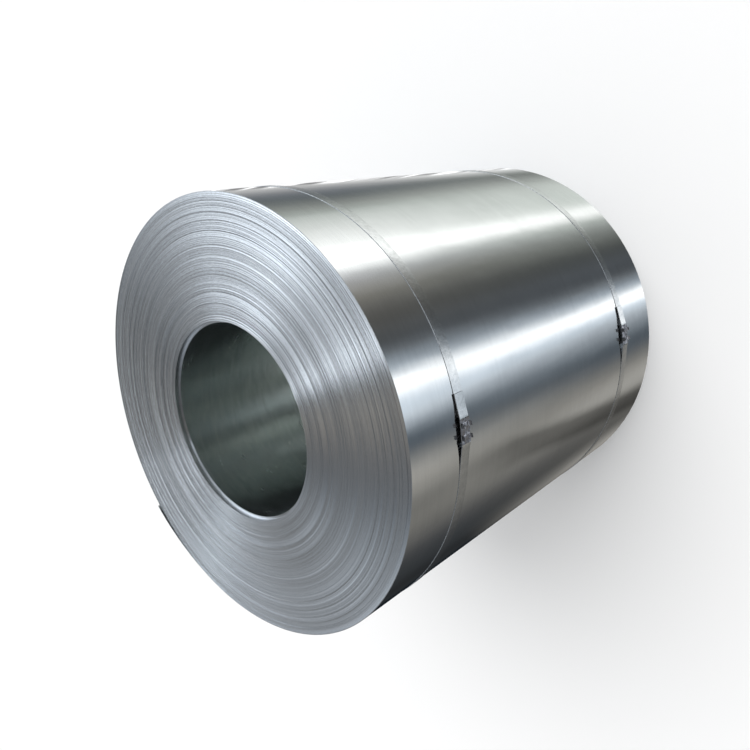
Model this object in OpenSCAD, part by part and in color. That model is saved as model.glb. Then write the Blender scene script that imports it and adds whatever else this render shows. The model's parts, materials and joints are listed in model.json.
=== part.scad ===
// Steel strip coil standing on its end, bound by two steel straps with crimped seals.
//
// The coil's axis is Z, and the origin is at the middle of its bore, half way up the strip's width.
// The upper end shows the lifted corner of the strip's outer end, and the seals face the front, -Y.
// Angles around the coil are measured from +X towards +Y.

/* [Coil] */
// Outer diameter over the outermost turn
coil_od = 1140; // [900:10:1600]
// Diameter of the bore inside the innermost turn
bore_d = 508; // [400:2:620]
// Width of the strip, which is the coil's height
strip_w = 1219; // [800:1:1600]
// Thickness of the strip
strip_t = 2; // [1:0.5:4]
// Innermost turns whose upper edge lies below the others
low_turns = 3; // [1:1:8]
// How far down that edge lies
low_drop = 14; // [4:1:40]
// Groups of turns that stand up by different amounts
bands = 10; // [4:1:40]
// Most that a group of turns stands up
band_rise = 2.4; // [0.4:0.1:4]
// Depth of the outer turns that the coil stands on, measured inwards from its outer surface
foot_depth = 24; // [12:1:60]

/* [Outer end of the strip] */
// Angle at which the strip ends
tail_angle = 133; // [90:1:170]
// Arc of the corner that has sprung off the coil
tail_arc = 26; // [12:1:30]
// Gap under the tip of that corner
tail_gap = 10; // [3:1:20]
// Distance kept between that corner and the upper strap
tail_strap_gap = 8; // [2:1:40]

/* [Straps] */
// Width of a strap
strap_w = 32; // [19:1:40]
// Thickness of a strap
strap_t = 0.9; // [0.6:0.1:1.2]
// Upper strap's middle, measured down from the upper end
upper_inset = 182; // [120:1:350]
// Lower strap's middle, measured up from the lower end
lower_inset = 198; // [120:1:350]
// Loose end of a strap beyond its seal
free_end = 58; // [10:1:80]
// Short end of a strap beyond its seal
short_end = 8; // [3:1:20]

/* [Seals] */
// Length of a seal along its strap
seal_l = 57; // [40:1:70]
// Thickness of a seal's plate
seal_t = 1.3; // [0.8:0.1:2]
// Height of the strap over the coil at its seal
seal_lift = 5; // [4:0.5:16]
// Clearance between a seal and the strap inside it
seal_fit = 0.1; // [0.05:0.05:0.3]
// Gap between the seal's lips under the strap
lip_gap = 9; // [4:1:14]
// Angle of the upper seal
upper_seal_angle = -81.5; // [-100:0.5:-65]
// Angle of the lower seal
lower_seal_angle = -78; // [-100:0.5:-65]
// Depth of a crimp cut into the seal's edge
crimp_depth = 5.5; // [3:0.5:8]
// Length of a crimp at its mouth
crimp_l = 12; // [8:0.5:14]
// Angle to which a crimp's tongue is bent
crimp_bend = 38; // [20:1:60]

/* [Hidden] */
$fn = 180;

outer_r = coil_od / 2;
bore_r = bore_d / 2;
top = strip_w / 2;
under_r = outer_r - strip_t;              // surface just past the end of the strip
half_turn_r = under_r + strip_t / 2;      // the last half turn, struck from a centre moved by half the strip
low_r = bore_r + low_turns * strip_t;
foot_r = outer_r - foot_depth;
band_w = (foot_r - low_r) / bands;
golden_angle = 137.5;                     // spreads the rises so that neighbouring groups differ
big = 2 * coil_od;
bite = 0.15;                              // a tangent is struck this far under the surface, so it crosses cleanly
lead_arc = 2;                             // arc before the strip's end on which a strap rises off the turn
skin = 0.05;                              // left on the turn below where the corner is cut away, for a clean edge
end_trim = 0.3;                           // by which the lifted corner is short of the strip's square end
weld = 3;                                 // overlap that joins the lifted corner to its turn
upper_z = top - upper_inset;
lower_z = lower_inset - top;
lifted_w = upper_inset - strap_w / 2 - tail_strap_gap;
layers_t = 2 * strap_t;                   // the strap's two ends, one on the other
slot_w = strap_w + 2 * seal_fit;
slot_t = layers_t + 2 * seal_fit;
sleeve_w = slot_w + 2 * seal_t;
sleeve_t = slot_t + 2 * seal_t;

function polar(r, a) = [r * cos(a), r * sin(a)];
function band_offset(i) = band_rise * (1 + sin(i * golden_angle)) / 2;
// Centre and radius of the coil's surface at an angle: the last half turn ends at tail_angle.
function on_last_half(a) = sin(a - tail_angle) >= 0;
function wrap_centre(a) = on_last_half(a) ? polar(strip_t / 2, tail_angle) : [0, 0];
function wrap_r(a) = on_last_half(a) ? half_turn_r : under_r;
// Point where the tangent from p meets a circle of radius r about the origin, on side 1 or -1 of p.
function tangent_point(p, r, side) = polar(r, atan2(p[1], p[0]) + side * acos(r / norm(p)));

// ---- Flat outlines, seen from above ----

// The coil's outline, e larger all round. Two half circles make the turn that ends at tail_angle.
module coil_outline(e = 0) {
    rotate(tail_angle) {
        intersection() {
            translate([strip_t / 2, 0]) circle(r = half_turn_r + e);
            translate([-big, 0]) square([2 * big, big]);
        }
        intersection() {
            circle(r = under_r + e);
            translate([-big, -big]) square([2 * big, big]);
        }
    }
}

// The strap's slope over the strip's end and down to the turn below, e larger.
module tail_slope(e = 0) {
    lead = polar(outer_r + e - bite, tail_angle + lead_arc);
    peak = polar(outer_r + e + bite, tail_angle);
    foot = tangent_point(peak, under_r + e - bite, -1);
    polygon([[0, 0], lead, peak, foot]);
}

// The strap's rise to a seal at an angle, e larger: tangent, flat under the seal, tangent.
module seal_rise(angle, e = 0) {
    r = wrap_r(angle) + e;
    left = [r + seal_lift, seal_l / 2];
    right = [r + seal_lift, -seal_l / 2];
    translate(wrap_centre(angle)) rotate(angle)
        polygon([[0, 0], tangent_point(right, r - bite, -1), right, left, tangent_point(left, r - bite, 1)]);
}

// The stretch on which the strap's two ends lie on each other.
module overlap_sector(angle) {
    reach = wrap_r(angle) + seal_lift;
    a0 = angle - atan((seal_l / 2 + short_end) / reach);
    a1 = angle + atan((seal_l / 2 + free_end) / reach);
    translate(wrap_centre(angle)) polygon([[0, 0], polar(big, a0), polar(big, a1)]);
}

// A seal's section across the strap, X outwards and Y up: a folded plate whose lips meet behind the strap.
module seal_section() {
    difference() {
        union() {
            for (side = [-1, 1], level = [-1, 1])
                translate([level * (sleeve_t / 2 - seal_t), side * (sleeve_w / 2 - seal_t)]) circle(r = seal_t);
            square([sleeve_t - 2 * seal_t, sleeve_w], center = true);
            square([sleeve_t, sleeve_w - 2 * seal_t], center = true);
        }
        square([slot_t, slot_w], center = true);
        translate([-sleeve_t, -lip_gap / 2]) square([sleeve_t, lip_gap]);
    }
}

// ---- Placing ----

// Extrudes a flat outline upwards, with its middle at z.
module slab(z, height) {
    translate([0, 0, z]) linear_extrude(height, center = true) children();
}

// Puts a shape at a seal: X outwards from the coil, Y along the strap, Z up.
// Its origin is the middle of the strap's two layers.
module at_seal(z, angle) {
    c = wrap_centre(angle);
    translate([c[0], c[1], z]) rotate([0, 0, angle])
        translate([wrap_r(angle) + seal_lift + strap_t, 0, 0]) children();
}

// Repeats a shape at the four crimps of a seal.
module each_crimp() {
    for (side = [0, 1], end = [-1, 1])
        mirror([0, 0, side]) translate([0, end * seal_l / 4, sleeve_w / 2]) children();
}

// ---- Coil ----

// The turns inside the foot: every group is one strip width long and stands up a little.
module inner_turns() {
    ends = concat([[-top, top - low_drop]],
        [for (i = [0 : bands - 1]) [band_offset(i) - top, band_offset(i) + top]]);
    radii = concat([bore_r], [for (i = [0 : bands]) low_r + i * band_w]);
    upper = [for (i = [0 : bands]) each [[radii[i], ends[i][1]], [radii[i + 1], ends[i][1]]]];
    lower = [for (i = [bands : -1 : 0]) each [[radii[i + 1], ends[i][0]], [radii[i], ends[i][0]]]];
    rotate_extrude() polygon(concat(upper, lower));
}

// The outer turns that the coil stands on, up to the square end of the strip.
module outer_turns() {
    slab(0, strip_w) difference() {
        coil_outline();
        circle(r = foot_r);
    }
}

// The triangle of the last turn beyond the fold, as a prism through the turn. It passes the strip's edges
// by more than weld, and e moves the fold itself towards the rest of the turn.
module corner_prism(e = 0) {
    chord = half_turn_r * sin(tail_arc / 2);
    along = [-2 * chord, -lifted_w] / norm([2 * chord, lifted_w]);
    shift = e * [-along[1], along[0]];
    c = wrap_centre(tail_angle);
    translate([c[0], c[1], top]) rotate([0, 0, tail_angle + tail_arc / 2])
        translate([half_turn_r, 0, 0]) rotate([90, 0, 90]) linear_extrude(4 * tail_arc, center = true)
            polygon([
                [chord, 0] - weld * along + shift,
                [-chord, -lifted_w] + weld * along + shift,
                [-chord - 2 * weld, 2 * weld]
            ]);
}

// The upper part of the last turn alone, moved e outwards and reaching past the strip's upper edge.
module last_turn(e = 0, past = 0) {
    translate([0, 0, (past - weld) / 2]) slab(top - lifted_w / 2, lifted_w + past + weld)
        translate(wrap_centre(tail_angle)) difference() {
            circle(r = half_turn_r + e);
            circle(r = half_turn_r - strip_t + e);
        }
}

// Everything up to the strip's square end, less a hair, so that the lifted corner's end crosses no other edge.
module before_end() {
    slab(0, 2 * strip_w) rotate(tail_angle) translate([0, end_trim]) square([big, big]);
}

// The strip's upper corner, turned outwards about the fold from the rim to the strap.
module lifted_corner() {
    root = polar(half_turn_r, tail_angle + tail_arc);
    tip = polar(half_turn_r, tail_angle);
    c = wrap_centre(tail_angle);
    a = [c[0] + root[0], c[1] + root[1], top];
    b = [c[0] + tip[0], c[1] + tip[1], top - lifted_w];
    chord = norm(tip - root);
    reach = chord * lifted_w / norm([chord, lifted_w]);
    translate(a) rotate(a = asin(tail_gap / reach), v = b - a) translate(-a) intersection() {
        last_turn();
        before_end();
        corner_prism(weld);
    }
}

module coil() {
    color("silver") {
        inner_turns();
        difference() {
            outer_turns();
            intersection() {
                last_turn(skin, weld);
                corner_prism();
            }
        }
        lifted_corner();
    }
}

// ---- Straps and seals ----

// The notches that the crimping tool cuts through the seal and both layers of the strap.
module crimp_notches() {
    each_crimp() rotate([90, 0, 90]) linear_extrude(3 * sleeve_t, center = true)
        polygon([
            [-crimp_l / 2, weld],
            [crimp_l / 2, weld],
            [crimp_l / 2 - 2, -crimp_depth],
            [2 - crimp_l / 2, -crimp_depth]
        ]);
}

// The tongues bent up out of the notches, each with all layers in it.
module crimp_tongues() {
    each_crimp() translate([0, 0, -crimp_depth]) rotate([0, crimp_bend, 0])
        translate([-sleeve_t * 0.4, 1.5 - crimp_l / 2, -weld / 2])
            cube([sleeve_t * 0.8, crimp_l - 3, crimp_depth + weld / 2]);
}

// All that is inside a strap's loop, e larger all round.
module strap_envelope(z, angle, height, e = 0) {
    slab(z, height) coil_outline(e);
    slab(z, height) tail_slope(e);
    slab(z, height) seal_rise(angle, e);
}

// The end that lies on the strap through the seal and beyond it.
module strap_overlap(z, angle) {
    difference() {
        slab(z, strap_w) intersection() {
            seal_rise(angle, layers_t);
            overlap_sector(angle);
        }
        slab(z, 2 * strap_w) seal_rise(angle, strap_t / 2);
    }
}

module strap(z, angle) {
    color("gainsboro") difference() {
        union() {
            difference() {
                strap_envelope(z, angle, strap_w, strap_t);
                strap_envelope(z, angle, 2 * strap_w);
            }
            strap_overlap(z, angle);
        }
        at_seal(z, angle) {
            crimp_notches();
            crimp_tongues();
        }
    }
}

module seal(z, angle) {
    color("slategray") at_seal(z, angle) {
        difference() {
            rotate([90, 0, 0]) linear_extrude(seal_l, center = true) seal_section();
            crimp_notches();
        }
        crimp_tongues();
    }
}

module upper_strap() { strap(upper_z, upper_seal_angle); }
module lower_strap() { strap(lower_z, lower_seal_angle); }
module upper_seal() { seal(upper_z, upper_seal_angle); }
module lower_seal() { seal(lower_z, lower_seal_angle); }

coil();
upper_strap();
lower_strap();
upper_seal();
lower_seal();
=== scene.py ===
"""Steel strip coil standing on its end, with its two straps and their crimped seals."""
import json
from math import atan, acos, cos, hypot, pi, radians, sin

import bpy
import numpy as np
from mathutils import Matrix, Vector


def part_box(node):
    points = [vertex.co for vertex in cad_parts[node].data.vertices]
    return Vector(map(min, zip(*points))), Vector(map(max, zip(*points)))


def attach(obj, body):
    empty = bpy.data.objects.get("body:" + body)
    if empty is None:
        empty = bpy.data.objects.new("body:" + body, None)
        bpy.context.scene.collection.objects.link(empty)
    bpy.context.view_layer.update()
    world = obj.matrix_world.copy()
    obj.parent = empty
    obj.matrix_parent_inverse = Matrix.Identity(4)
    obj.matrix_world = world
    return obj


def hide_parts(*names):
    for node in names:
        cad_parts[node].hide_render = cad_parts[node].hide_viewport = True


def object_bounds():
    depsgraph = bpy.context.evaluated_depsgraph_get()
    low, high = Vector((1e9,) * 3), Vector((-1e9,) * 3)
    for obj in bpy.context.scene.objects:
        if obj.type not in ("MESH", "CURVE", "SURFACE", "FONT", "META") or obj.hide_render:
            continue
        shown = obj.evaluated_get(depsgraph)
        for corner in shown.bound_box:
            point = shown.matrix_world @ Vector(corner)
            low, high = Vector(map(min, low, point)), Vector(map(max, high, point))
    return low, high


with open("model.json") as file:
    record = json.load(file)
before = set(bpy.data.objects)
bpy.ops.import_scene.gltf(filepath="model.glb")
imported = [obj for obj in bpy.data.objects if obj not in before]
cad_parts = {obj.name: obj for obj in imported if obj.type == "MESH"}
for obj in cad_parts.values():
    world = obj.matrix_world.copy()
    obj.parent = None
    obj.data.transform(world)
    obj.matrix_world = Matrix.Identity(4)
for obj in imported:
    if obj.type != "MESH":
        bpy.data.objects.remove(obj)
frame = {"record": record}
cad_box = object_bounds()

MM = 0.001
TAU = 2 * pi

# ---- Sizes, as in the CAD model ----

coil_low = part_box("coil")[0]
TOP = -coil_low[2]                      # half the strip's width
BORE_R = frame["record"]["mounts"][0]["dims"]["r_mm"] * MM
OUTER_R = 570 * MM
TURN_T = 2 * MM                         # strip thickness, and the spiral's pitch
LOW_TURNS = 3                           # innermost turns whose upper edge lies lower
LOW_DROP = 14 * MM
LOW_RAMP = 0.12                         # share of a turn over which the edge comes back up
BAND_RISE = 2.4 * MM                    # most that a turn's edge stands up
TAIL = radians(133)                     # angle at which the strip ends
TAIL_ARC = radians(26)
TAIL_GAP = 11 * MM
LIFTED_W = 158 * MM
EVEN_SIDE = radians(247)                # side on which the turns lie most evenly
STRAP_W = 32 * MM
STRAP_T = 0.9 * MM
STRAPS = (("upper", TOP - 182 * MM, radians(-81.5)), ("lower", 198 * MM - TOP, radians(-78)))
SEAL_L = 57 * MM
SEAL_T = 1.3 * MM
SEAL_LIFT = 5 * MM
FREE_END = 58 * MM
SHORT_END = 8 * MM
CRIMP_L = 12 * MM
CRIMP_DEPTH = 5.5 * MM

# ---- The strip's looseness ----

RIM_TURNS = 34                          # outer turns that stand up in smaller groups
EDGE_STRAY = 0.09 * MM                  # how far a turn's edge strays from its group's
EDGE_TILT = 0.2 * MM                    # how far a turn's edge slopes across the strip's thickness
TILTS = 200                             # slopes drawn, one a turn and some to spare
CORNER_CURVE = 1.35                     # above 1, the lifted corner bends more towards its tip

# ---- Meshing ----

SEGMENTS = 144                          # steps in a turn
WHOLE_TURNS = round((OUTER_R - TURN_T - BORE_R) / TURN_T)
INNER_SHORT = 61                        # steps that the strip's inner end lies short of a whole turn
STEPS = WHOLE_TURNS * SEGMENTS - INNER_SHORT
LIFT_ROWS = 10                          # rows of points down the lifted corner
rng = np.random.default_rng(11)


def make_object(name, verts, faces, materials, slots=None, sharp=30):
    """A mesh object from points and faces, smooth except at edges sharper than an angle in degrees."""
    mesh = bpy.data.meshes.new(name)
    mesh.from_pydata([tuple(v) for v in verts], [], faces)
    for material in materials:
        mesh.materials.append(material)
    if slots is not None:
        mesh.polygons.foreach_set("material_index", slots)
    mesh.polygons.foreach_set("use_smooth", [True] * len(mesh.polygons))
    mesh.set_sharp_from_angle(angle=radians(sharp))
    mesh.update()
    obj = bpy.data.objects.new(name, mesh)
    bpy.context.scene.collection.objects.link(obj)
    return obj


class Builder:
    """Collects grids of points as quads, each grid with a material slot."""

    def __init__(self):
        self.verts, self.faces, self.slots = [], [], []

    def grid(self, points, slot, flip=False):
        """points has the shape (rows, columns, 3)."""
        rows, cols = points.shape[:2]
        start = len(self.verts)
        self.verts.extend(points.reshape(-1, 3).tolist())
        for r in range(rows - 1):
            for c in range(cols - 1):
                a = start + r * cols + c
                quad = (a, a + 1, a + cols + 1, a + cols)
                self.faces.append(quad[::-1] if flip else quad)
                self.slots.append(slot)


def around(radius, angle, z):
    """Points at a radius, angle and height, as arrays that broadcast together."""
    radius, angle, z = np.broadcast_arrays(radius, angle, z)
    return np.stack([radius * np.cos(angle), radius * np.sin(angle), z], axis=-1)


def smooth(x):
    x = np.clip(x, 0, 1)
    return x * x * (3 - 2 * x)


# ---- The wound strip ----

step = np.arange(STEPS + 1)
turns_left = (STEPS - step) / SEGMENTS
angle_at = TAIL + TAU * turns_left
outside_at = OUTER_R - TURN_T * turns_left
turn_at = step / SEGMENTS


def edge_rise():
    """Height of the strip's edge along the spiral: groups of turns stand up, and each turn strays."""
    turns = int(turn_at[-1]) + 2
    rise = np.zeros(turns + 1)
    turn = 0
    while turn <= turns:
        near_rim = turn > turns - RIM_TURNS
        size = int(rng.integers(2, 6) if near_rim else rng.integers(5, 15))
        rise[turn:turn + size] = rng.uniform(0.1, 1.0) * BAND_RISE * (0.9 if near_rim else 0.45)
        turn += size
    rise += rng.normal(0, EDGE_STRAY, turns + 1)
    rise[turns - 4:] *= 0.3
    return np.interp(turn_at, np.arange(turns + 1), np.clip(rise, 0, BAND_RISE))


def low_edge():
    """How far the innermost turns' upper edge lies down."""
    return LOW_DROP * (1 - smooth((turn_at - LOW_TURNS) / LOW_RAMP))


def corner_lift(angle, depth):
    """How far the strip's outer surface stands off at an angle and a depth below the upper edge."""
    across = (TAIL + TAIL_ARC - angle) / TAIL_ARC
    beyond_fold = np.clip(across - depth / LIFTED_W, 0, 1)
    return TAIL_GAP * beyond_fold ** CORNER_CURVE


def build_coil(materials):
    rise, down = edge_rise(), low_edge()
    tilt = np.interp(turn_at, np.arange(TILTS), rng.normal(0, EDGE_TILT, TILTS))
    upper, lower = TOP + rise - down, np.maximum(rise - TOP, -TOP)
    inside_at = outside_at - TURN_T
    last = slice(STEPS - SEGMENTS, STEPS + 1)
    in_corner = angle_at < TAIL + TAIL_ARC
    lift = np.where(in_corner, corner_lift(angle_at, 0), 0)
    build = Builder()

    # The turns' edges on both ends, and the steps from each turn to the next.
    up_in, up_out = upper - tilt / 2, upper + tilt / 2
    low_in, low_out = np.maximum(lower - tilt / 2, -TOP), np.maximum(lower + tilt / 2, -TOP)
    inner_top = around(inside_at + lift, angle_at, up_in)
    outer_top = around(outside_at + lift, angle_at, up_out)
    inner_low = around(inside_at, angle_at, low_in)
    outer_low = around(outside_at, angle_at, low_out)
    build.grid(np.stack([inner_top, outer_top]), 0, flip=True)
    build.grid(np.stack([inner_low, outer_low]), 0)
    steps_top = STEPS - int(SEGMENTS * TAIL_ARC / TAU) - 1
    step_top = [outer_top[:steps_top - SEGMENTS + 1], inner_top[SEGMENTS:steps_top + 1]]
    build.grid(np.stack(step_top), 0, flip=True)
    build.grid(np.stack([outer_low[:-SEGMENTS], inner_low[SEGMENTS:]]), 0)

    # The outer turn, from the upper edge down, with the lifted corner.
    angle, radius = angle_at[last], outside_at[last]
    below_lift = LIFTED_W + np.linspace(0.02, 1, 9) * (2 * TOP - LIFTED_W)
    depths = np.concatenate([np.linspace(0, LIFTED_W, LIFT_ROWS), below_lift])
    height = (up_out[last] - low_out[last])[None] * depths[:, None] / (2 * TOP)
    z = up_out[last][None] - height
    raised = np.where(angle[None] < TAIL + TAIL_ARC, corner_lift(angle[None], height), 0)
    build.grid(around(radius[None] + raised, angle[None], z), 1)

    # The corner's underside, and the turn that shows below it.
    cols = angle < TAIL + TAIL_ARC * 1.05
    rows = slice(0, LIFT_ROWS + 1)
    z_in = np.minimum(z, up_in[last][None])[rows][:, cols]
    under = (radius - TURN_T)[None, cols] + raised[rows][:, cols]
    build.grid(around(under, angle[None, cols], z_in), 1, flip=True)
    clear = 0.02 * MM
    below = (radius - TURN_T - clear)[None, cols]
    build.grid(around(below, angle[None, cols], z_in), 1)

    # The strip's two cut ends.
    tail_in = around(radius[-1] - TURN_T + raised[:, -1], angle[-1], z[:, -1])
    tail_out = around(radius[-1] + raised[:, -1], angle[-1], z[:, -1])
    build.grid(np.stack([tail_in, tail_out]), 0, flip=True)
    heights = np.linspace(up_in[0], low_in[0], 6)
    head_in = around(inside_at[0], angle_at[0], heights)
    head_out = around(outside_at[0], angle_at[0], heights)
    build.grid(np.stack([head_in, head_out]), 0)

    # The bore's wall.
    first = slice(0, SEGMENTS + 1)
    share = np.linspace(0, 1, 8)[:, None]
    z = up_in[first][None] * (1 - share) + low_in[first][None] * share
    build.grid(around(inside_at[first][None], angle_at[first][None], z), 2, flip=True)

    coil = make_object("wound_strip", build.verts, build.faces, materials, build.slots)
    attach(coil, "root")
    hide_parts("coil")


# ---- Straps ----

def wrap_radius(angle):
    """Radius of the coil's outer surface at an angle."""
    return OUTER_R - TURN_T * np.mod(angle - TAIL, TAU) / TAU


def strap_radius(angle, seal_angle):
    """Radius of a strap's inner face: on the coil, over the strip's end, and up to its seal."""
    on_coil = wrap_radius(angle)
    past_tail = np.mod(TAIL - angle, TAU)
    tail_reach = acos((OUTER_R - TURN_T) / OUTER_R)
    slope = np.where(past_tail < tail_reach, (OUTER_R - TURN_T) / np.cos(tail_reach - past_tail), 0)
    base = float(wrap_radius(np.array(seal_angle)))
    off = np.abs(np.mod(angle - seal_angle + pi, TAU) - pi)
    crest = base + SEAL_LIFT
    corner = atan(SEAL_L / 2 / crest)
    reach = acos(base / hypot(crest, SEAL_L / 2))
    flat = np.where(off <= corner, crest / np.cos(np.minimum(off, corner)), 0)
    tangent = np.where((off > corner) & (off < corner + reach), base / np.cos(corner + reach - off), 0)
    return np.maximum.reduce([on_coil, slope, flat, tangent])


def strap_section():
    """A strap's section, anticlockwise: (height across, distance outwards)."""
    half, bevel = STRAP_W / 2, 0.7 * MM
    rising = [(-half, 0), (-half, 0.35), (-half + bevel, 0.95), (-half * 0.5, 1.1)]
    falling = [(-across, out) for across, out in reversed(rising)]
    return rising + [(0, 1.12)] + falling


def sweep_strap(build, angles, radii, z):
    section = strap_section()
    rows = [around(radii + out * STRAP_T, angles, z + across) for across, out in section + section[:1]]
    for i in range(len(rows) - 1):
        is_edge = i in (0, 1, len(section) - 3, len(section) - 2, len(section) - 1)
        build.grid(np.stack([rows[i], rows[i + 1]]), 1 if is_edge else 0, flip=True)
    for end in (0, -1):
        ring = np.array([r[end] for r in rows[:-1]])
        centre = ring.mean(axis=0)
        build.grid(np.stack([ring, np.broadcast_to(centre, ring.shape)]), 1, flip=end == 0)


def build_strap(name, z, seal_angle, materials):
    build = Builder()
    corner = atan(SEAL_L / 2 / (OUTER_R + SEAL_LIFT))
    knots = np.concatenate([
        seal_angle + np.linspace(-pi, pi, 301),
        seal_angle + np.array([-corner, corner]),
        np.linspace(TAIL - radians(5), TAIL + radians(1), 14),
    ])
    angles = np.unique(np.round(np.mod(knots - seal_angle + pi, TAU), 6)) - pi + seal_angle
    waver = 0.4 * MM * np.sin(3 * angles + z) + 0.25 * MM * np.sin(7 * angles)
    sweep_strap(build, angles, strap_radius(angles, seal_angle) + 0.1 * MM, z + waver)

    # The end that lies on the strap through the seal and beyond it, standing off a little at its tip.
    reach = OUTER_R + SEAL_LIFT
    start, end = -atan((SEAL_L / 2 + SHORT_END) / reach), atan((SEAL_L / 2 + FREE_END) / reach)
    overlap = seal_angle + np.linspace(start, end, 26)
    spring = 1.6 * MM * smooth((overlap - seal_angle - corner * 1.4) / radians(6))
    radii = strap_radius(overlap, seal_angle) + STRAP_T * 1.15 + spring
    sweep_strap(build, overlap, radii, z + 0.5 * MM + 0.6 * MM * np.sin(9 * overlap))

    strap = make_object(name + "_band", build.verts, build.faces, materials, build.slots, sharp=25)
    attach(strap, "root")
    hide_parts(name)


# ---- Seals ----

def seal_frame(z, angle):
    """Local axes at a seal: X outwards, Y along the strap, Z up."""
    out = float(wrap_radius(np.array(angle))) + SEAL_LIFT + STRAP_T
    place = Matrix.Rotation(angle, 4, "Z") @ Matrix.Translation((out, 0, 0))
    return Matrix.Translation((0, 0, z)) @ place


def seal_sleeve(build, seed):
    """The folded plate round the strap, pinched and cut where the tool bit."""
    noise = np.random.default_rng(seed)
    half_w, half_t = STRAP_W / 2 + 0.1 * MM + SEAL_T, STRAP_T + 0.1 * MM + SEAL_T
    stations = [-1]
    for mid in (-0.5, 0.5):
        for part in (-0.5, -0.36, 0.36, 0.5):
            stations.append(mid + part * CRIMP_L / (SEAL_L / 2))
    stations = np.array(stations + [-0.08, 0.08, 1.0])
    stations = np.sort(np.concatenate([stations, stations + 0.012]))
    across = np.linspace(-1, 1, 13)
    rows_out, rows_in = [], []
    for s in stations:
        near = min(abs(s - 0.5), abs(s + 0.5)) * SEAL_L / 2
        bitten = near < CRIMP_L * 0.45
        width = half_w - (CRIMP_DEPTH if bitten else 0) - abs(noise.normal(0, 0.25 * MM))
        bulge = half_t * (1.25 if bitten else 1.0) + 0.25 * MM * np.cos(across * 7 + s * 5)
        bulge = bulge + noise.normal(0, 0.18 * MM, across.size)
        edge = np.sqrt(np.clip(1 - np.abs(across) ** 12, 0, 1))
        y = s * SEAL_L / 2 + noise.normal(0, 0.25 * MM, across.size)
        outer = np.stack([half_t * 0.1 + (bulge - half_t * 0.1) * edge, y, across * width], axis=-1)
        rows_out.append(outer)
        inner = outer.copy()
        inner[:, 0] = -half_t * (0.85 * edge + 0.1)
        rows_in.append(inner)
    build.grid(np.array(rows_out), 0)
    build.grid(np.array(rows_in), 1, flip=True)
    for end in (0, -1):
        build.grid(np.stack([rows_out[end], rows_in[end]]), 1, flip=end == 0)
    for side in (0, -1):
        edge_out = np.array([r[side] for r in rows_out])
        edge_in = np.array([r[side] for r in rows_in])
        build.grid(np.stack([edge_out, edge_in]), 1, flip=side == -1)


def seal_tongue(build, mid, side, bend, seed):
    """One flap that the tool cut from the edge and bent outwards, curling as it rises."""
    noise = np.random.default_rng(seed)
    length, root = CRIMP_DEPTH + 2.2 * MM, STRAP_W / 2 + SEAL_T - CRIMP_DEPTH
    along = np.linspace(-0.5, 0.5, 6) * (CRIMP_L - 1.5 * MM)
    sheets = []
    for skin in (1.6 * MM, -0.6 * MM):
        rows = []
        for reach in np.linspace(-0.2, 1, 6):
            lean = bend * (0.35 + 0.65 * reach)
            up = length * reach * cos(lean)
            out = STRAP_T + length * reach * sin(lean) + skin * cos(lean)
            ragged = noise.normal(0, 0.3 * MM, along.size) * (0.3 + reach)
            twist = out + along * 0.12 * side + ragged
            length_way = mid + along * (1 - 0.12 * reach)
            width_way = side * (root + up - skin * sin(lean) + ragged)
            rows.append(np.stack([twist, length_way, width_way], axis=-1))
        sheets.append(np.array(rows))
    top, under = sheets
    flip = side < 0
    build.grid(top, 0, flip=not flip)
    build.grid(under, 0, flip=flip)
    build.grid(np.stack([top[-1], under[-1]]), 1, flip=flip)
    build.grid(np.stack([top[0], under[0]]), 1, flip=not flip)
    build.grid(np.stack([top[:, 0], under[:, 0]]), 1, flip=not flip)
    build.grid(np.stack([top[:, -1], under[:, -1]]), 1, flip=flip)


def build_seal(name, z, angle, materials, seed):
    build = Builder()
    seal_sleeve(build, seed)
    for i, (mid, side) in enumerate(((-0.5, -1), (-0.5, 1), (0.5, -1), (0.5, 1))):
        bend = radians(46 + 9 * ((i * 7 + seed) % 3))
        seal_tongue(build, mid * SEAL_L / 2, side, bend, seed + i)
    place = seal_frame(z, angle)
    verts = [place @ Vector(v) for v in build.verts]
    seal = make_object(name + "_sleeve", verts, build.faces, materials, build.slots, sharp=35)
    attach(seal, "root")
    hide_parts(name)


# ---- Materials ----

GRAIN_TURN = 0.25                       # a quarter turn, so that the grain runs round the coil


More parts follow.
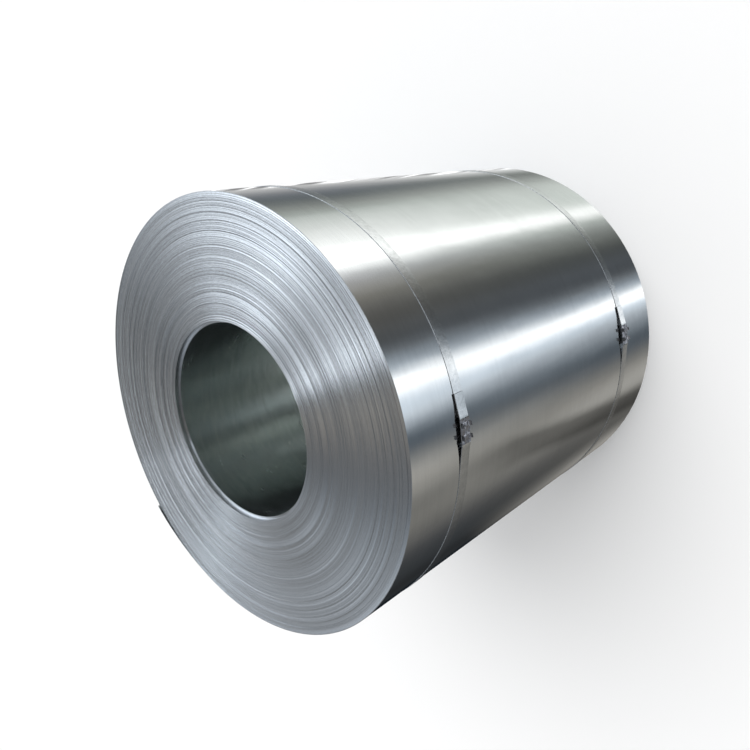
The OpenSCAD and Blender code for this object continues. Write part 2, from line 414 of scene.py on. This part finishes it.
class Nodes:
    """Short names for adding and linking shader nodes."""

    def __init__(self, tree):
        self.tree = tree
        tree.nodes.clear()

    def add(self, kind, values=None, **settings):
        node = self.tree.nodes.new(kind)
        for key, value in settings.items():
            setattr(node, key, value)
        for key, value in (values or {}).items():
            self.put(node.inputs[key], value)
        return node

    def put(self, socket, value):
        if isinstance(value, bpy.types.NodeSocket):
            self.tree.links.new(value, socket)
        else:
            socket.default_value = value

    def math(self, operation, a, b=0.0, c=0.0):
        return self.add("ShaderNodeMath", {0: a, 1: b, 2: c}, operation=operation).outputs[0]

    def combine(self, x, y, z):
        return self.add("ShaderNodeCombineXYZ", {0: x, 1: y, 2: z}).outputs[0]

    def product(self, first, *others):
        for other in others:
            first = self.math("MULTIPLY", first, other)
        return first

    def noise(self, vector, scale, detail=3.0):
        values = {"Vector": vector, "Scale": scale, "Detail": detail, "Roughness": 0.6}
        return self.add("ShaderNodeTexNoise", values).outputs[0]

    def remap(self, value, low, high, to_low, to_high):
        values = {0: value, 1: low, 2: high, 3: to_low, 4: to_high}
        return self.add("ShaderNodeMapRange", values).outputs[0]

    def shade(self, colour, factor):
        """The colour times a varying factor."""
        values = {0: 1.0, 6: colour, 7: self.combine(factor, factor, factor)}
        return self.add("ShaderNodeMix", values, data_type="RGBA", blend_type="MULTIPLY").outputs[2]

    def mix(self, factor, first, second):
        return self.add("ShaderNodeMix", {0: factor, 6: first, 7: second}, data_type="RGBA").outputs[2]

    def polar(self):
        """Object coordinates as (x / r, y / r, r, z)."""
        place = self.add("ShaderNodeTexCoord").outputs["Object"]
        x, y, z = self.add("ShaderNodeSeparateXYZ", {0: place}).outputs
        r = self.math("SQRT", self.math("ADD", self.product(x, x), self.product(y, y)))
        return self.math("DIVIDE", x, r), self.math("DIVIDE", y, r), r, z


def metal(name, colour, rough, anisotropy, colour_factor, rough_factor, height, relief):
    """A metal whose colour, roughness and height vary by functions of (nodes, polar coordinates).

    relief is the height's whole range in mm.
    """
    material = bpy.data.materials.new(name)
    material.use_nodes = True
    n = Nodes(material.node_tree)
    spot = n.polar()
    values = {"Metallic": 1.0, "Anisotropic": anisotropy, "Anisotropic Rotation": GRAIN_TURN}
    shader = n.add("ShaderNodeBsdfPrincipled", values)
    if anisotropy:
        tangent = n.add("ShaderNodeTangent", direction_type="RADIAL", axis="Z")
        n.put(shader.inputs["Tangent"], tangent.outputs[0])
    n.put(shader.inputs["Base Color"], n.shade(colour, colour_factor(n, spot)))
    n.put(shader.inputs["Roughness"], n.math("MULTIPLY", rough_factor(n, spot), rough))
    bump = n.add("ShaderNodeBump", {"Strength": 1.0, "Distance": relief * MM, "Height": height(n, spot)})
    n.put(shader.inputs["Normal"], bump.outputs[0])
    output = n.add("ShaderNodeOutputMaterial")
    n.put(output.inputs[0], shader.outputs[0])
    return material


def ring_lines(n, spot, fineness, length, detail=3.0):
    """Noise that is thin across the turns and long around them."""
    x, y, r, _ = spot
    place = n.combine(n.product(x, length), n.product(y, length), n.product(r, fineness))
    return n.noise(place, 1.0, detail)


def rolling_lines(n, spot, fineness, length):
    """Noise that is thin along the axis and long around it."""
    x, y, _, z = spot
    place = n.combine(n.product(x, length), n.product(y, length), n.product(z, fineness))
    return n.noise(place, 1.0)


def unevenness(n, spot):
    """How much the turns stray, which is least on the side that the coil lies on."""
    x, y, _, _ = spot
    side = n.math("ADD", n.product(x, cos(EVEN_SIDE)), n.product(y, sin(EVEN_SIDE)))
    return n.remap(side, -0.15, 0.75, 1.0, 0.35)


def speckle(n, scale, dark, light):
    """A colour or roughness factor in soft grains."""
    place = n.add("ShaderNodeTexCoord").outputs["Object"]
    return n.remap(n.noise(place, scale, 4.0), 0.3, 0.7, dark, light)


# What varies over the wound turns' edges.

def end_colour(n, spot):
    """Fine and broad lines, thin dark gaps, short dashes, and a painted highlight: a thin bright ring where
    the low turns end.
    """
    _, _, r, _ = spot
    fine = n.remap(ring_lines(n, spot, 640, 0.5), 0.35, 0.65, 0.88, 1.07)
    broad = n.remap(ring_lines(n, spot, 300, 0.35), 0.38, 0.62, 0.93, 1.04)
    wander = n.math("ABSOLUTE", n.math("SUBTRACT", ring_lines(n, spot, 95, 0.5), 0.5))
    gaps = n.remap(wander, 0.004, 0.02, 0.88, 1.0)
    dashes = n.remap(ring_lines(n, spot, 380, 34), 0.35, 0.65, 0.93, 1.06)
    mean = 0.97
    stray = n.math("SUBTRACT", n.product(fine, broad, gaps, dashes), mean)
    lines = n.math("MULTIPLY_ADD", stray, unevenness(n, spot), mean)
    # Painted highlight: the colour is made brighter in a thin ring just outside the low turns' edge.
    first = n.math("ABSOLUTE", n.math("SUBTRACT", r, BORE_R + LOW_TURNS * TURN_T + 1.0 * MM))
    bore_rim_highlight = n.remap(first, 0.4 * MM, 1.1 * MM, 1.35, 1.0)
    return n.product(lines, bore_rim_highlight)


def end_rough(n, spot):
    return n.remap(ring_lines(n, spot, 330, 0.5), 0.3, 0.7, 0.85, 1.15)


def end_height(n, spot):
    fine = n.product(ring_lines(n, spot, 700, 0.5, 1.0), 1.1)
    broad = n.product(ring_lines(n, spot, 330, 0.35, 1.0), 0.7)
    return n.product(unevenness(n, spot), n.math("ADD", fine, broad))


# What varies over the rolled surface.

def wrap_colour(n, spot):
    lines = n.remap(rolling_lines(n, spot, 260, 1.5), 0.3, 0.7, 0.97, 1.02)
    cloud = n.remap(rolling_lines(n, spot, 6, 5), 0.3, 0.7, 0.95, 1.04)
    return n.product(lines, cloud)


def wrap_rough(n, spot):
    return n.remap(rolling_lines(n, spot, 60, 3), 0.3, 0.7, 0.85, 1.15)


def wrap_height(n, spot):
    waves, rolled = rolling_lines(n, spot, 1.8, 3.5), rolling_lines(n, spot, 300, 2)
    return n.math("ADD", waves, n.product(rolled, 0.004))


def bore_height(n, spot):
    return rolling_lines(n, spot, 40, 2)


# What varies over the straps and seals.

def galvanised(n, spot):
    return speckle(n, 90.0, 0.88, 1.06)


def worn(n, spot):
    return speckle(n, 160.0, 0.72, 1.15)


def dents(n, spot):
    place = n.add("ShaderNodeTexCoord").outputs["Object"]
    return n.noise(place, 70.0, 2.0)


def steel_materials():
    laps = metal("turn_edges", (0.64, 0.65, 0.665, 1), 0.22, 1.0, end_colour, end_rough, end_height, 0.5)
    rolled = (wrap_colour, wrap_rough)
    wrap = metal("rolled_surface", (0.66, 0.68, 0.69, 1), 0.11, 0.3, *rolled, wrap_height, 0.7)
    bore = metal("bore_wall", (0.64, 0.68, 0.67, 1), 0.24, 0.5, *rolled, bore_height, 0.01)
    strap = metal("strap_face", (0.62, 0.64, 0.65, 1), 0.22, 0.3, galvanised, wrap_rough, dents, 0.25)
    edge = metal("slit_edge", (0.62, 0.63, 0.65, 1), 0.3, 0.0, worn, worn, worn, 0.1)
    seal = metal("seal_plate", (0.40, 0.40, 0.43, 1), 0.36, 0.0, worn, worn, dents, 0.5)
    # Near black: painted shade on the seal's inside face against the strap, its cut ends and sides, and the
    # tongues' edges.
    seal_shaded_edge = metal("seal_shaded_edge", (0.13, 0.13, 0.14, 1), 0.35, 0.0, worn, worn, worn, 0.2)
    return {"coil": [laps, wrap, bore], "strap": [strap, edge], "seal": [seal, seal_shaded_edge]}


# ---- Studio ----

# Tints of the studio's panels, as their red and blue against their green.
PLAIN = (1.0, 1.0)
CREAM = (1.0, 0.97)
COOL = (0.92, 1.08)
BLUE = (0.87, 1.13)
WARM = (1.04, 0.92)
OLIVE = (0.95, 0.94)
# The room that the steel's side mirrors, as soft upright panels: (azimuth in degrees, brightness, tint).
# The first set is seen low down, the second further down still.
NEAR_PANELS = (
    (-180, 0.05, COOL), (-165, 0.1, PLAIN), (-150, 0.22, WARM), (-135, 0.25, WARM),
    (-120, 0.45, WARM), (-107, 0.18, COOL), (-98, 0.25, BLUE), (-90, 0.85, COOL),
    (-80, 1.15, COOL), (-72, 1.9, PLAIN), (-65, 0.75, COOL), (-55, 0.2, COOL),
    (-42, 0.12, CREAM), (-30, 0.17, WARM), (-20, 0.35, WARM), (-10, 0.8, PLAIN),
    (0, 2.1, CREAM), (10, 1.5, CREAM), (35, 0.72, OLIVE), (45, 0.33, OLIVE),
    (60, 0.2, COOL), (75, 0.55, PLAIN), (90, 0.8, PLAIN), (130, 0.1, COOL), (160, 0.03, COOL),
)
FAR_PANELS = (
    (-180, 0.12, WARM), (-160, 0.2, WARM), (-150, 0.4, WARM), (-140, 0.45, WARM),
    (-130, 0.3, WARM), (-118, 0.15, COOL), (-105, 0.2, BLUE), (-90, 0.65, COOL),
    (-84, 1.1, COOL), (-77, 1.9, PLAIN), (-70, 0.75, COOL), (-60, 0.2, COOL),
    (-45, 0.11, COOL), (-30, 0.15, OLIVE), (-15, 0.4, OLIVE), (-7, 0.75, OLIVE),
    (0, 1.5, CREAM), (10, 0.95, OLIVE), (40, 0.7, OLIVE), (55, 0.35, OLIVE),
    (65, 0.4, OLIVE), (90, 1.4, PLAIN), (140, 0.5, WARM), (160, 0.4, WARM),
)
# The light that fans out over the upper end: (angle around the mirrored view in degrees, brightness, tint).
FANS = (
    (0, 1.3, COOL), (25, 1.0, COOL), (45, 0.3, COOL), (60, 0.05, COOL),
    (105, 0.05, BLUE), (120, 0.2, BLUE), (135, 0.05, BLUE), (158, 0.05, BLUE),
    (168, 2.2, BLUE), (175, 0.8, BLUE), (185, 0.5, COOL), (215, 0.5, COOL),
    (235, 0.25, COOL), (255, 0.2, PLAIN), (280, 0.4, WARM), (296, 0.4, COOL),
    (307, 2.0, COOL), (317, 1.4, COOL), (335, 0.9, COOL), (350, 1.05, COOL),
)
FAN_CENTRE = (-0.387, 0.745, 0.547)     # mirrored view of the upper end's middle
UNDER_COLOUR = (0.38, 0.43, 0.42, 1)    # what lies straight below
FLOOR_COLOUR = (0.90, 0.90, 0.90, 1)
BACKDROP = (0.96, 0.96, 0.96, 1)
FILL = (0.76, 0.76, 0.76, 1)
UPPER_BASE = (0.192, 0.194, 0.194)     # between the fans


def panel_ramp(n, place, panels, low, high):
    """The light of a ring of panels, at a place that runs from 0 to 1 between two angles in degrees."""
    ramp = n.add("ShaderNodeValToRGB", {0: place})
    ramp.color_ramp.interpolation = "CARDINAL"
    stops = ramp.color_ramp.elements
    stops[0].position, stops[1].position = 0.0, 1.0
    for panel in panels[1:]:
        stops.new((panel[0] - low) / (high - low))
    scale = max(panel[1] for panel in panels)
    for stop, (_, bright, (red, blue)) in zip(stops, panels + panels[:1]):
        stop.color = (bright * red / scale, bright / scale, bright * blue / scale, 1)
    return brighten(n, ramp.outputs[0], scale)


def brighten(n, colour, scale):
    values = {0: colour, "Scale": scale}
    return n.add("ShaderNodeVectorMath", values, operation="SCALE").outputs[0]


def vector_math(n, operation, first, second, output=0):
    return n.add("ShaderNodeVectorMath", {0: first, 1: second}, operation=operation).outputs[output]


def angle_ramp(n, angle, from_angle, to_angle, first, last):
    """A ramp over an angle, with its ends in degrees."""
    return n.remap(angle, radians(from_angle), radians(to_angle), first, last)


def near_cos(n, along, from_angle, to_angle, first, last):
    """The same for an angle that is known by its cosine."""
    return n.remap(along, cos(radians(from_angle)), cos(radians(to_angle)), first, last)


def lower_room(n, azimuth, z):
    """What the coil's side mirrors: the panels, thin slanting streaks at one side, and a dim arch."""
    turn = n.remap(azimuth, -pi, pi, 0.0, 1.0)
    near = panel_ramp(n, turn, NEAR_PANELS, -180, 180)
    far = panel_ramp(n, turn, FAR_PANELS, -180, 180)
    panels = n.mix(n.remap(z, -0.71, -0.89, 0.0, 1.0), near, far)

    slant = n.math("ADD", n.product(z, 38.0), n.product(azimuth, 3.0))
    streaks = n.remap(n.noise(n.combine(slant, 0.0, 0.0), 1.0, 2.0), 0.46, 0.55, 0.25, 2.2)
    beside = n.product(angle_ramp(n, azimuth, 78, 86, 0.0, 1.0), angle_ramp(n, azimuth, 140, 120, 0.0, 1.0))
    panels = n.shade(panels, n.add("ShaderNodeMix", {0: beside, 2: 1.0, 3: streaks}).outputs[0])

    arch_at = n.remap(z, -0.80, -0.89, radians(-143), radians(-165))
    off_arch = n.math("ABSOLUTE", n.math("SUBTRACT", azimuth, arch_at))
    arch = n.product(angle_ramp(n, off_arch, 6, 14, 1.0, 0.0), n.remap(z, -0.74, -0.80, 0.0, 0.58))
    panels = n.shade(panels, n.math("SUBTRACT", 1.0, arch))
    return n.mix(n.remap(z, -0.95, -0.985, 0.0, 1.0), panels, UNDER_COLOUR)


def upper_room(n, way, x, y, z):
    """What the upper end mirrors: light that fans out around the mirrored view, and is dim straight above."""
    centre = Vector(FAN_CENTRE).normalized()
    along = vector_math(n, "DOT_PRODUCT", way, centre, "Value")
    off_x = n.math("SUBTRACT", x, n.product(along, centre.x))
    off_y = n.math("SUBTRACT", y, n.product(along, centre.y))
    spoke = n.math("FRACT", n.math("DIVIDE", n.math("ADD", n.math("ARCTAN2", off_y, off_x), TAU), TAU))
    fans = panel_ramp(n, spoke, FANS, 0, 360)
    ring = n.product(near_cos(n, along, 10, 26, 0.25, 1.9), near_cos(n, along, 76, 50, 0.3, 1.0))
    height = n.product(n.remap(z, 0.35, 0.75, 0.7, 1.1), n.remap(z, 0.82, 0.97, 1.0, 0.2))
    extra = brighten(n, vector_math(n, "SUBTRACT", fans, UPPER_BASE), n.product(ring, height))
    return vector_math(n, "ADD", extra, UPPER_BASE)


def build_world():
    world = bpy.data.worlds.new("studio")
    world.use_nodes = True
    bpy.context.scene.world = world
    n = Nodes(world.node_tree)
    way = n.add("ShaderNodeTexCoord").outputs["Generated"]
    x, y, z = n.add("ShaderNodeSeparateXYZ", {0: way}).outputs
    below, above = lower_room(n, n.math("ARCTAN2", y, x), z), upper_room(n, way, x, y, z)
    room = n.mix(n.remap(z, -0.08, 0.08, 0.0, 1.0), below, above)

    # Steel mirrors the room. Rough surfaces get even light, and the camera sees a plain backdrop.
    ray = n.add("ShaderNodeLightPath").outputs
    room = n.mix(ray["Is Diffuse Ray"], room, FILL)
    room = n.mix(ray["Is Camera Ray"], room, BACKDROP)
    background = n.add("ShaderNodeBackground", {"Color": room, "Strength": 1.0})
    n.put(n.add("ShaderNodeOutputWorld").inputs[0], background.outputs[0])


def build_floor():
    half, z = 14.0, float(cad_box[0][2])
    corners = [(-half, -half, z), (half, -half, z), (half, half, z), (-half, half, z)]
    material = bpy.data.materials.new("floor_paint")
    material.use_nodes = True
    shader = material.node_tree.nodes["Principled BSDF"]
    shader.inputs["Base Color"].default_value = FLOOR_COLOUR
    shader.inputs["Roughness"].default_value = 0.9
    floor = make_object("studio_floor", corners, [(0, 1, 2, 3)], [material])
    floor.visible_glossy = False


def build_lights():
    """One wide soft light from the side that lies uppermost in the camera's view."""
    data = bpy.data.lights.new("key", "SUN")
    data.energy, data.angle = 1.6, radians(50)
    lamp = bpy.data.objects.new("key", data)
    lamp.rotation_euler = Vector((-0.62, -0.10, -0.78)).to_track_quat("-Z", "Y").to_euler()
    lamp.visible_glossy = False
    bpy.context.scene.collection.objects.link(lamp)


# The camera's place, and its view as (azimuth, elevation, roll) in degrees. The coil stands, so the camera
# looks down on it and is turned on its side, which shows the coil as it lies in use.
CAMERA_PLACE = (0.7013, -1.3486, 1.6020)
CAMERA_VIEW = (27.83, 44.96, -110.58)
CAMERA_LENS = 33.84                     # mm, on a sensor 36 mm wide


def build_camera():
    azimuth, elevation, roll = (radians(v) for v in CAMERA_VIEW)
    back = Vector((sin(azimuth) * cos(elevation), -cos(azimuth) * cos(elevation), sin(elevation)))
    data = bpy.data.cameras.new("camera")
    data.lens, data.sensor_width = CAMERA_LENS, 36.0
    camera = bpy.data.objects.new("camera", data)
    upright = back.to_track_quat("Z", "Y").to_matrix().to_4x4()
    camera.matrix_world = Matrix.Translation(CAMERA_PLACE) @ upright @ Matrix.Rotation(roll, 4, "Z")
    bpy.context.scene.collection.objects.link(camera)
    bpy.context.scene.camera = camera


# ---- Everything ----

build_camera()
metals = steel_materials()
build_coil(metals["coil"])
for number, (place, z, angle) in enumerate(STRAPS):
    build_strap(place + "_strap", z, angle, metals["strap"])
    build_seal(place + "_seal", z, angle, metals["seal"], seed=5 + number)
build_world()
build_floor()
build_lights()
bpy.context.scene.view_settings.view_transform = "Standard"
